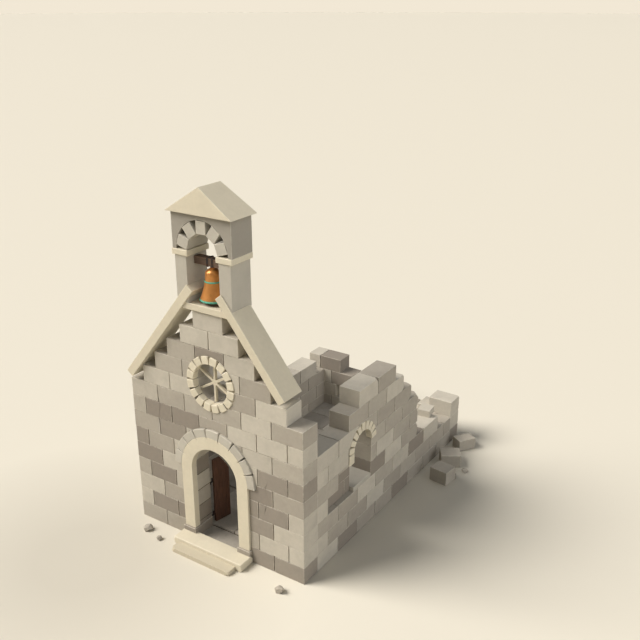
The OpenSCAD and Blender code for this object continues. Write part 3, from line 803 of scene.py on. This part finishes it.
paving = {"seed": 61, "row": 0.62, "flag": 0.78, "joint": 0.014, "bed": 0.045, "bevel": 0.008,
          "sunken": (-1.27, -0.52, -1.65), "sunk": 0.03}
mass = newMass()
rng = random.Random(paving["seed"])
rows = round((slabHigh.y - slabLow.y) / paving["row"])
depth = (slabHigh.y - slabLow.y) / rows
for row in range(rows):
    cuts = [slabLow.x]
    while cuts[-1] + paving["flag"] * 0.7 < slabHigh.x:
        cuts.append(cuts[-1] + paving["flag"] * rng.uniform(0.75, 1.25))
    cuts[-1] = slabHigh.x
    for left, right in zip(cuts, cuts[1:]):
        y0 = slabLow.y + row * depth
        midX, midY = (left + right) / 2, y0 + depth / 2
        gap = paving["joint"] / 2
        sink = rng.uniform(0, 0.004)
        if paving["sunken"][0] < midX < paving["sunken"][1] and abs(midY - paving["sunken"][2]) < depth / 2:
            sink = paving["sunk"]
        flag = cuboid((max(left + gap, slabLow.x), y0 + gap, paving["bed"]),
                      (min(right - gap, slabHigh.x), y0 + depth - gap, slabHigh.z - sink))
        chipCorners(flag, rng, {signs: 0.12 for signs in corners if signs[2] > 0}, 0.05)
        finishStone(mass, flag, rng.uniform(0.1, 1.0), rng.random(), paving["bevel"])
makePiece("flagstones", mass, pavingStone, nodes=("floor_slab",))
mass = newMass()
pour(mass, cuboid((slabLow.x, slabLow.y, 0.0), (slabHigh.x, slabHigh.y, paving["bed"] + 0.002)), 0.4, 0.3)
makePiece("pavingBed", mass, limeMortar, weighted=False)
print("paving laid")

bellLow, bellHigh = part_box("bell")
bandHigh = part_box("bell_bands")[1]
bell = {"waist": 0.138, "wall": 0.024, "shoulder": 0.83, "bandHeight": 0.026,
        "lipBand": 0.034, "bandAt": 0.58, "proud": 0.009, "crown": 0.032, "segments": 72}
bellY = (bellLow.y + bellHigh.y) / 2
bellTall = bellHigh.z - bellLow.z - bell["crown"]


def flare(height):
    share = max(0.0, 1 - height / (bell["shoulder"] * bellTall))
    return bell["waist"] + (bellHigh.x - bell["waist"]) * share ** 2.1


def lathe(mass, profile, z, tone=0.5, closed=True):
    # Turns a closed profile of (radius, height) about the bell's axis
    bm = bmesh.new()
    count = bell["segments"]
    rings = []
    for radius, height in profile:
        if radius < 1e-6:
            rings.append([bm.verts.new((0, bellY, z + height))] * count)
            continue
        rings.append([bm.verts.new((radius * math.cos(2 * math.pi * i / count),
                                    bellY + radius * math.sin(2 * math.pi * i / count), z + height))
                      for i in range(count)])
    pairs = list(zip(rings, rings[1:])) + ([(rings[-1], rings[0])] if closed else [])
    for one, two in pairs:
        for i in range(count):
            j = (i + 1) % count
            loop = []
            for vert in (one[i], one[j], two[j], two[i]):
                if vert not in loop:
                    loop.append(vert)
            if len(loop) > 2:
                bm.faces.new(loop)
    bmesh.ops.recalc_face_normals(bm, faces=bm.faces[:])
    pour(mass, bm, tone, 0.5, soft=True)


outside = [(flare(max(0, h - bell["lipBand"])), h) for h in
           [bell["shoulder"] * bellTall * i / 22 for i in range(23)]]
dome = [(bell["waist"] * math.cos(math.radians(a)),
         bell["shoulder"] * bellTall + bellTall * (1 - bell["shoulder"]) * math.sin(math.radians(a)))
        for a in range(9, 82, 9)]
crown = [(0.048, bellTall - 0.002), (0.046, bellTall + 0.012), (0.040, bellTall + 0.024),
         (0.030, bellTall + bell["crown"]), (0.0, bellTall + bell["crown"])]
inside = [(0.0, bellTall - bell["wall"])] + \
    [((bell["waist"] - bell["wall"]) * math.cos(math.radians(a)),
      bell["shoulder"] * bellTall +
      (bellTall * (1 - bell["shoulder"]) - bell["wall"]) * math.sin(math.radians(a)))
     for a in range(80, 0, -16)] + \
    [(flare(max(0, h - bell["lipBand"])) - bell["wall"], h)
     for h in [bell["shoulder"] * bellTall * i / 14 for i in range(14, -1, -1)]]
mass = newMass()
lathe(mass, outside + dome + crown + inside, bellLow.z)
makePiece("bellBody", mass, bellBronze, "bell", ("bell",), weighted=False)
mass = newMass()
for radius, height, tall in ((bellHigh.x, 0.0, bell["lipBand"]),
                             (flare(bell["bandAt"] * bellTall - bell["lipBand"]), bell["bandAt"] * bellTall,
                              bell["bandHeight"])):
    reachOut = bandHigh.x - bellHigh.x
    profile = [(radius - 0.006, height)] + \
        [(radius + reachOut * math.cos(math.radians(a)) ** 0.6 if abs(a) < 90 else radius,
          height + tall / 2 + tall / 2 * math.sin(math.radians(a))) for a in range(-80, 81, 20)] + \
        [(radius - 0.006, height + tall)]
    lathe(mass, profile, bellLow.z)
makePiece("bellHoops", mass, greenCopper, "bell", ("bell_bands",), weighted=False)
mass = newMass()
ballZ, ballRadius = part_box("clapper")[0].z + 0.044, 0.044
profile = [(0.0, -ballRadius)] + arc((0, 0), ballRadius, -75, 60, 9)
profile += [(0.012, ballRadius + 0.006), (0.009, ballRadius + 0.03),
            (0.009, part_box("clapper")[1].z - ballZ), (0.0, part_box("clapper")[1].z - ballZ)]
lathe(mass, profile, ballZ, closed=False)
makePiece("clapperRod", mass, wroughtIron, "bell", ("clapper",), weighted=False)
dressNodes("headstock", ("headstock",), {"seed": 17, "bevel": 0.010, "tone": (0.4, 0.6), "segments": 3},
           beamOak, "bell")
dressNodes("headstockIronwork", ("headstock_ironwork",), {"seed": 18, "bevel": 0.0025, "tone": (0.4, 0.6)},
           wroughtIron, "bell")
print("bell hung")

hinge = [joint for joint in frame["joints"] if joint["name"] == "door_hinge"][0]
pin = hinge["pos_m"]
leaf = {"width": 0.376, "height": 1.42, "drop": 0.285, "break": 0.47, "thick": 0.06, "back": 0.048,
        "gap": 0.020, "boards": 4, "seam": 0.004, "bevel": 0.003, "open": -hinge["range_deg"][0], "seed": 71}
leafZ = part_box("door_leaf")[0].z
turned = Matrix.Translation((pin[0], pin[1], 0)) @ Matrix.Rotation(math.radians(leaf["open"]), 4, "Z")


def hang(bm):
    bmesh.ops.transform(bm, matrix=turned, verts=bm.verts[:])
    return bm


def topAt(x):
    # Broken top of the leaf: level beside the hinges, then falling to the free edge
    share = x / leaf["width"]
    fall = max(0, (share - leaf["break"]) / (1 - leaf["break"]))
    return leaf["height"] - leaf["drop"] * fall


rng = random.Random(leaf["seed"])
mass = newMass()
boardWidth = leaf["width"] / leaf["boards"]
for number in range(leaf["boards"]):
    left = number * boardWidth + (leaf["seam"] / 2 if number else 0)
    right = (number + 1) * boardWidth - (leaf["seam"] / 2 if number < leaf["boards"] - 1 else 0)
    teeth = 6
    top = []
    for tooth in range(teeth + 1):
        x = right + (left - right) * tooth / teeth
        torn = 0.030 if number > 1 else 0.012
        top.append((x, topAt(x) - rng.uniform(0, torn)))
    outline = [(left, 0.0), (right, 0.0)] + top
    outline = [(leaf["gap"] + x, leafZ + z) for x, z in outline]
    board = prism(outline, 1, -leaf["back"], leaf["thick"] - leaf["back"] - 0.0015 * (number % 2))
    finishStone(mass, hang(board), 0.5, rng.random(), leaf["bevel"])
makePiece("doorBoards", mass, doorOak, "door", ("door_leaf",))
mass = newMass()
ledge = {"at": (0.2, 0.56), "tall": 0.11, "thick": 0.026, "in": 0.015}
face = leaf["thick"] - leaf["back"]
for share in ledge["at"]:
    low = leafZ + share * leaf["height"]
    bar = cuboid((leaf["gap"] + ledge["in"], face, low),
                 (leaf["gap"] + leaf["width"] - ledge["in"], face + ledge["thick"], low + ledge["tall"]))
    finishStone(mass, hang(bar), 0.5, rng.random(), 0.005)
makePiece("doorLedges", mass, beamOak, "door", ("door_ledges",))


def nailHead(mass, x, y, z, radius, tall):
    # A forged rose head on the face of the leaf, pointing along the leaf's own Y
    bm = bmesh.new()
    rim = [bm.verts.new((x + radius * math.cos(a), y, z + radius * math.sin(a)))
           for a in [math.pi / 4 * i for i in range(8)]]
    top = [bm.verts.new((x + radius * 0.5 * math.cos(a), y + tall, z + radius * 0.5 * math.sin(a)))
           for a in [math.pi / 4 * i for i in range(8)]]
    bm.faces.new(rim)
    bm.faces.new(top)
    for i in range(8):
        bm.faces.new((rim[i], rim[(i + 1) % 8], top[(i + 1) % 8], top[i]))
    bmesh.ops.recalc_face_normals(bm, faces=bm.faces[:])
    pour(mass, hang(bm), 0.5, 0.5)


mass = newMass()
for part in splitSolids(packedSolid("door_straps")):
    finishStone(mass, part, 0.5, rng.random(), 0.002, 1)
strap = {"at": (0.12, 0.66), "length": 0.78 * leaf["width"], "barrel": 0.06, "thick": 0.008, "nails": 3}
for share in strap["at"]:
    middle = leafZ + share * leaf["height"] + strap["barrel"] / 2
    for nail in range(strap["nails"]):
        x = leaf["gap"] + 0.035 + nail * (strap["length"] - 0.07) / (strap["nails"] - 1)
        nailHead(mass, x, face + strap["thick"] - 0.0005, middle, 0.010, 0.006)
for share in ledge["at"]:
    for number in range(leaf["boards"]):
        x = leaf["gap"] + (number + 0.5) * boardWidth
        nailHead(mass, x, face + ledge["thick"] - 0.0005,
                 leafZ + share * leaf["height"] + ledge["tall"] / 2, 0.008, 0.004)
makePiece("doorStraps", mass, wroughtIron, "door", ("door_straps",))
dressNodes("doorPintles", ("door_pintles",), {"seed": 19, "bevel": 0.002, "tone": (0.4, 0.6)},
           wroughtIron)
print("door hung")

studio = {
    "floor": "#e6e0d0", "shaded": "#d0cabb", "shadeAt": (-1.9, -4.9, 0), "shade": (1.0, 4.4),
    "backdrop": "#f2e8d5",
    "world": "#eef1f6", "worldStrength": 0.13,
    "lights": {  # colour, strength, width of the source in degrees, direction it comes from
        "key": ("#fffaf4", 4.1, 36, (-0.58, -0.43, 0.69)),
        "fill": ("#f6f7fa", 1.25, 60, (0.86, -0.10, 0.50)),
        "sky": ("#f8f8f8", 0.38, 90, (0.15, -0.10, 0.98)),
    },
}
# Floor: a matt painted board, soft and pale, with painted shade: a little greyer in front of the door,
# standing in for the soft shading there
floorMaterial, tree, shader = newMaterial("paleFloor", 0.9)
place = addNode(tree, "TexCoord", out="Object")
away = addNode(tree, "VectorMath", {"operation": "DISTANCE"}, {0: place, 1: studio["shadeAt"]}, "Value")
shaded = addNode(tree, "MapRange", None,
                 {0: away, 1: studio["shade"][0], 2: studio["shade"][1], 3: 1.0, 4: 0.0})
colour = addNode(tree, "Mix", inColour,
                 {0: shaded, 6: linear(studio["floor"]), 7: linear(studio["shaded"])}, 2)
tree.links.new(colour, shader.inputs["Base Color"])
backdropMaterial = bpy.data.materials.new("paleBackdrop")
backdropMaterial.use_nodes = True
tree = backdropMaterial.node_tree
tree.nodes.remove(tree.nodes["Principled BSDF"])
glow = addNode(tree, "Emission", None, {"Color": linear(studio["backdrop"]), "Strength": 1.0})
tree.links.new(glow, tree.nodes["Material Output"].inputs["Surface"])


def stageRing(name, profile, material, sides=64):
    # profile is a list of (radius, height); the first ring is closed over
    turns = [2 * math.pi * i / sides for i in range(sides)]
    points = [(radius * math.cos(turn), radius * math.sin(turn), height)
              for radius, height in profile for turn in turns]
    faces = [tuple(range(sides))]
    for row in range(len(profile) - 1):
        for i in range(sides):
            j = (i + 1) % sides
            faces.append((row * sides + i, (row + 1) * sides + i, (row + 1) * sides + j, row * sides + j))
    mesh = bpy.data.meshes.new(name)
    mesh.from_pydata(points, [], faces)
    mesh.materials.append(material)
    thing = bpy.data.objects.new(name, mesh)
    bpy.context.scene.collection.objects.link(thing)
    return thing


floor = stageRing("studioFloor", [(30, -0.001), (420, -0.001)], floorMaterial)
backdrop = stageRing("studioBackdrop", [(150, 330), (320, 230), (415, -1)], backdropMaterial)
backdrop.visible_shadow = backdrop.visible_diffuse = backdrop.visible_glossy = False

world = bpy.data.worlds.new("softRoom")
bpy.context.scene.world = world
world.use_nodes = True
world.node_tree.nodes["Background"].inputs["Color"].default_value = linear(studio["world"])
world.node_tree.nodes["Background"].inputs["Strength"].default_value = studio["worldStrength"]
bpy.context.scene.view_settings.view_transform = "Standard"

for name, (colour, strength, width, source) in studio["lights"].items():
    light = bpy.data.lights.new(name, "SUN")
    light.energy, light.angle, light.color = strength, math.radians(width), linear(colour)[:3]
    lamp = bpy.data.objects.new(name, light)
    bpy.context.scene.collection.objects.link(lamp)
    lamp.rotation_euler = (-Vector(source)).to_track_quat("-Z", "Y").to_euler()
    if name == "fill":  # lights the stone only, so the shadow on the floor stays deep
        unlit = bpy.data.collections.new("unlitFloor")
        unlit.objects.link(floor)
        unlit.collection_objects[0].light_linking.link_state = "EXCLUDE"
        lamp.light_linking.receiver_collection = unlit

lens = {"place": (9.065, -13.487, 10.108), "tilt": 90 - 21.587, "turn": 33.363, "focal": 46.92, "sensor": 36}
cameraData = bpy.data.cameras.new("camera")
cameraData.lens, cameraData.sensor_width = lens["focal"], lens["sensor"]
cameraData.clip_end = 1000
camera = bpy.data.objects.new("camera", cameraData)
bpy.context.scene.collection.objects.link(camera)
camera.location = lens["place"]
camera.rotation_euler = (math.radians(lens["tilt"]), 0, math.radians(lens["turn"]))
bpy.context.scene.camera = camera

print("scene ready")
